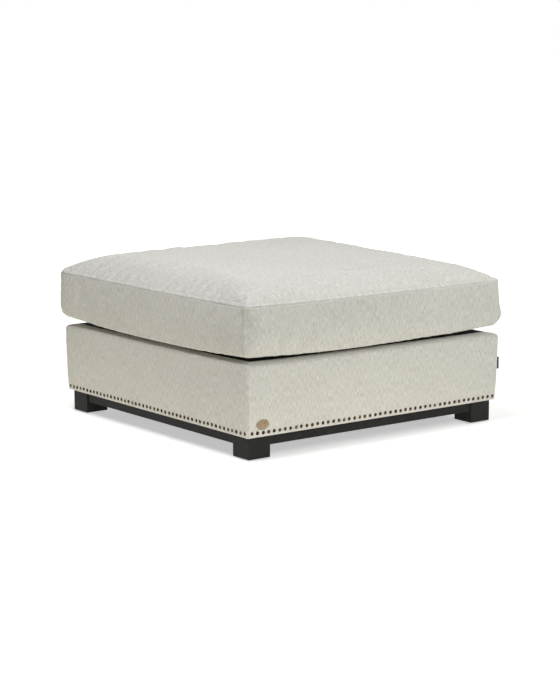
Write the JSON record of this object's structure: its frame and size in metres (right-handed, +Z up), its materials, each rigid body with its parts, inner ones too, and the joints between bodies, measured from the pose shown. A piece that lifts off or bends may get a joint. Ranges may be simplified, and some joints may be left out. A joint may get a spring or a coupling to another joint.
{
  "type": "footstool",
  "caption": "Square linen-covered footstool with a loose zipped cushion on a sprung timber box, nail trim round the lower edge and black block legs.",
  "frame": {"origin": "on the floor, under the middle of the base", "axes": "+Z up; the front, with the plaque near its left end, faces -Y; +X to the right seen from the front"},
  "size_m": [0.95, 0.9555, 0.494],
  "materials": {
    "linen": "natural linen, plain weave with slubs",
    "black_wood": "black lacquer, satin",
    "frame_timber": "sawn pine, unfinished",
    "antique_bronze": "antique bronze plating, worn",
    "aged_brass": "aged brass, satin",
    "zinc_steel": "zinc plated",
    "zip_metal": "dark nickel",
    "webbing": "elastic webbing",
    "dust_cloth": "black non-woven cloth",
    "black_cloth": "black ribbon",
    "foam": "polyurethane foam",
    "fibre": "polyester fibre",
    "zip_nylon": "nylon coil zip on woven tape",
    "glide_plastic": "moulded nylon"
  },
  "bodies": {
    "base": {"leg_front_left": "black_wood", "leg_front_right": "black_wood", "leg_rear_right": "black_wood", "leg_rear_left": "black_wood", "glide_front_left": "glide_plastic", "glide_front_right": "glide_plastic", "glide_rear_right": "glide_plastic", "glide_rear_left": "glide_plastic", "leg_bolt_front_left": "zinc_steel", "leg_bolt_front_right": "zinc_steel", "leg_bolt_rear_right": "zinc_steel", "leg_bolt_rear_left": "zinc_steel", "plinth_rail_front": "black_wood", "plinth_rail_right": "black_wood", "plinth_rail_rear": "black_wood", "plinth_rail_left": "black_wood", "frame_board_front": "frame_timber", "frame_board_right": "frame_timber", "frame_board_rear": "frame_timber", "frame_board_left": "frame_timber", "corner_block_front_left": "frame_timber", "corner_block_front_right": "frame_timber", "corner_block_rear_right": "frame_timber", "corner_block_rear_left": "frame_timber", "centre_stretcher": "frame_timber", "strap_lengthwise_1": "webbing", "strap_lengthwise_2": "webbing", "strap_lengthwise_3": "webbing", "strap_lengthwise_4": "webbing", "strap_crosswise_1": "webbing", "strap_crosswise_2": "webbing", "strap_crosswise_3": "webbing", "dust_cover": "dust_cloth", "side_panel_front": "linen", "side_panel_right": "linen", "side_panel_rear": "linen", "side_panel_left": "linen", "deck_cover": "black_cloth", "deck_pad": "foam", "nail_row_front": "antique_bronze", "nail_row_right": "antique_bronze", "nail_row_rear": "antique_bronze", "nail_row_left": "antique_bronze", "plaque": "aged_brass", "plaque_pin_left": "antique_bronze", "plaque_pin_right": "antique_bronze", "corner_label": "black_cloth"},
    "cushion": {"cushion_top_panel": "linen", "cushion_bottom_panel": "linen", "cushion_boxing_front": "linen", "cushion_boxing_right": "linen", "cushion_boxing_left": "linen", "cushion_boxing_rear_lower": "linen", "cushion_boxing_rear_upper": "linen", "fibre_topper": "fibre", "foam_core": "foam", "zip_tape": "zip_nylon"},
    "zip_slider": {"zip_slider": "zip_metal"},
    "zip_pull": {"zip_pull": "zip_metal"}
  },
  "joints": [
    {"name": "cushion_lift", "type": "slide", "parent": "base", "child": "cushion", "axis": [0, 0, 1], "range_m": [0, 0.3]},
    {"name": "zip_slide", "type": "slide", "parent": "cushion", "child": "zip_slider", "axis": [-1, 0, 0], "range_m": [0, 0.797]},
    {"name": "zip_pull_swing", "type": "hinge", "parent": "zip_slider", "child": "zip_pull", "pos_m": [0.3987, 0.4786, 0.3575], "axis": [0, 0, -1], "range_deg": [0, 180]}
  ]
}
